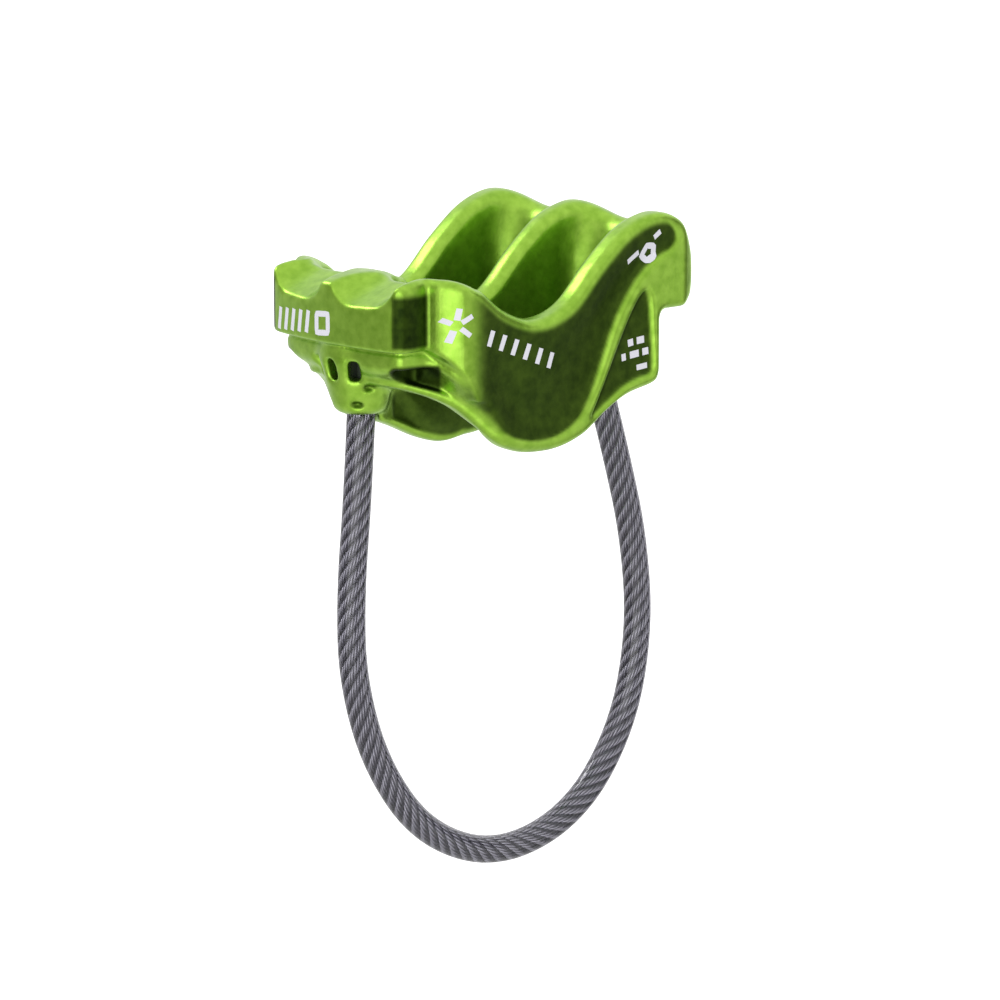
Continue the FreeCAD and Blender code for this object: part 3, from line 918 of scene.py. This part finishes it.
def grey_ramp(nodes, stops, low, high):
    """Grey ramp through (value, brightness) stops, for values from low to high."""
    ramp = nodes.new("ShaderNodeValToRGB")
    ramp.color_ramp.interpolation = "EASE"
    elements = ramp.color_ramp.elements
    while len(elements) < len(stops):
        elements.new(0.5)
    for element, (value, grey) in zip(elements, stops):
        element.position = (value - low) / (high - low)
        element.color = (grey, grey, grey, 1)
    return ramp


def pale_floor():
    """White floor below the loop, seen by the camera and left out of the reflections."""
    low = CAD_BOX[0][2] - FLOOR_DROP
    corners = [(-1, -1), (1, -1), (1, 1), (-1, 1)]
    points = [(x * FLOOR_REACH, y * FLOOR_REACH, low) for x, y in corners]
    floor = mesh_piece("pale_floor", points, [[0, 1, 2, 3]], smooth=False)
    material, shader = speckled("pale_floor", 3.0, (0.90,) * 3, (0.92,) * 3, (0.8, 0.9))
    shader.inputs["Emission Color"].default_value = (1, 1, 1, 1)
    shader.inputs["Emission Strength"].default_value = FLOOR_GLOW
    floor.data.materials.append(material)
    floor.visible_glossy = False
    floor.visible_diffuse = False
    floor.visible_transmission = False
    floor.visible_shadow = False


def stage():
    """Studio light from all round, white behind the object, and the softboxes."""
    world = bpy.data.worlds.new("studio")
    world.use_nodes = True
    nodes, link = world.node_tree.nodes, world.node_tree.links.new
    place = nodes.new("ShaderNodeTexCoord")
    split = nodes.new("ShaderNodeSeparateXYZ")
    link(place.outputs["Generated"], split.inputs["Vector"])
    turn = nodes.new("ShaderNodeMath")
    turn.operation = "ARCTAN2"
    link(split.outputs["Y"], turn.inputs[0])
    link(split.outputs["X"], turn.inputs[1])
    around = nodes.new("ShaderNodeMapRange")
    around.inputs["From Min"].default_value = -math.pi
    around.inputs["From Max"].default_value = math.pi
    link(turn.outputs["Value"], around.inputs["Value"])
    height_value = nodes.new("ShaderNodeMapRange")
    height_value.inputs["From Min"].default_value = -1.0
    link(split.outputs["Z"], height_value.inputs["Value"])
    horizon = grey_ramp(nodes, ROUND, -180, 180)
    link(around.outputs["Result"], horizon.inputs["Fac"])
    below = grey_ramp(nodes, FLOOR_HEIGHTS, -1, 1)
    above = grey_ramp(nodes, CEILING_HEIGHTS, -1, 1)
    shade = horizon.outputs["Color"]
    for ramp, grey in ((below, FLOOR_BRIGHTNESS), (above, CEILING_BRIGHTNESS)):
        link(height_value.outputs["Result"], ramp.inputs["Fac"])
        mixed = nodes.new("ShaderNodeMix")
        mixed.data_type = "RGBA"
        mixed.inputs["B"].default_value = (grey, grey, grey, 1)
        link(ramp.outputs["Color"], mixed.inputs["Factor"])
        link(shade, mixed.inputs["A"])
        shade = mixed.outputs["Result"]
    background = nodes["Background"]
    link(shade, background.inputs["Color"])
    seen = nodes.new("ShaderNodeBackground")
    seen.inputs["Color"].default_value = (1.0, 1.0, 1.0, 1)
    ray = nodes.new("ShaderNodeLightPath")
    mix = nodes.new("ShaderNodeMixShader")
    link(ray.outputs["Is Camera Ray"], mix.inputs["Fac"])
    link(background.outputs["Background"], mix.inputs[1])
    link(seen.outputs["Background"], mix.inputs[2])
    link(mix.outputs["Shader"], nodes["World Output"].inputs["Surface"])
    bpy.context.scene.world = world
    bpy.context.scene.view_settings.view_transform = "Standard"
    for softbox in SOFTBOXES:
        area_light(*softbox)


camera()
cable()
body()
finish_nodes()
pale_floor()
stage()
